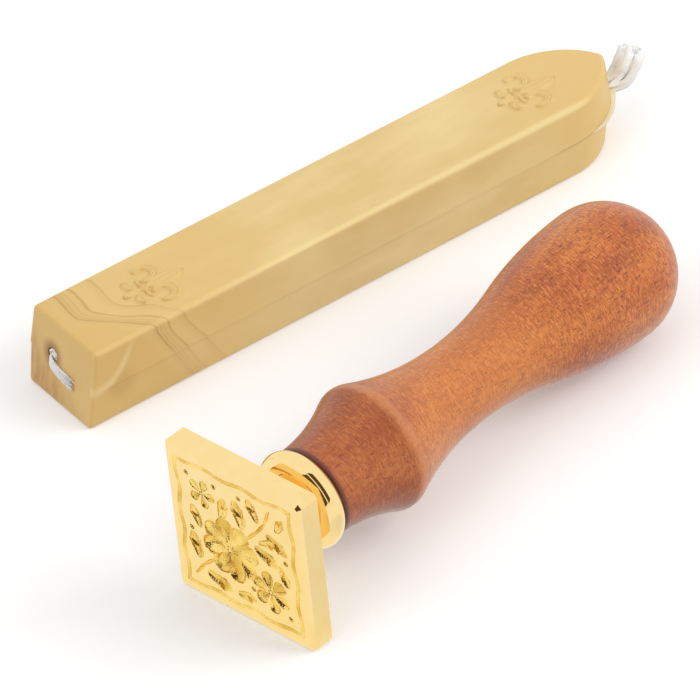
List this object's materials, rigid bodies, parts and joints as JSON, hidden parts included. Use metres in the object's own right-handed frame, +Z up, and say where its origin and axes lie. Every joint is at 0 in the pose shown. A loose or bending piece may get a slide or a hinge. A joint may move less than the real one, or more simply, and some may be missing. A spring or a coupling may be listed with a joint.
{
  "type": "sealing stamp and wax stick",
  "caption": "Seal stamp with turned wooden bulb handle, gilt collar and square engraved screw-on head, lying beside a pointed gold sealing-wax stick with a wick.",
  "frame": {"origin": "on the table, at the bottom centre of the box around the stamp and the wax stick", "axes": "+X along the stamp from its engraved face to its bulb, +Y from the stamp towards the wax stick, +Z up from the table"},
  "size_m": [0.1188, 0.0734, 0.0251],
  "materials": {
    "varnished_wood": "reddish-brown beech with dark pore flecks under a satin varnish",
    "gilt_metal": "polished, pale gold",
    "stud_steel": "zinc-plated thread",
    "gold_wax": "pearly gold sealing wax, cast, with swirls",
    "cotton": "loosely braided white cotton"
  },
  "bodies": {
    "stamp_grip": {"wood_handle": "varnished_wood", "ferrule": "gilt_metal"},
    "stud": {"threaded_stud": "stud_steel"},
    "head": {"die_head": "gilt_metal"},
    "stick": {"wax_stick": "gold_wax", "wick": "cotton"}
  },
  "joints": [
    {"name": "head_turn", "type": "hinge", "parent": "stamp_grip", "child": "stud", "pos_m": [-0.05904, -0.02419, 0.0126], "axis": [-0.9996, 0, 0.0296], "range_deg": [0, 2700]},
    {"name": "head_advance", "type": "slide", "parent": "stud", "child": "head", "axis": [-0.9996, 0, 0.0296], "range_m": [0, 0.006]},
    {"name": "stick_lift", "type": "slide", "parent": "stamp_grip", "child": "stick", "axis": [0, 0, 1], "range_m": [0, 0.08]}
  ],
  "couplings": [
    {"joint": "head_advance", "follows": "head_turn", "m_per_rad": 0.00012732}
  ]
}
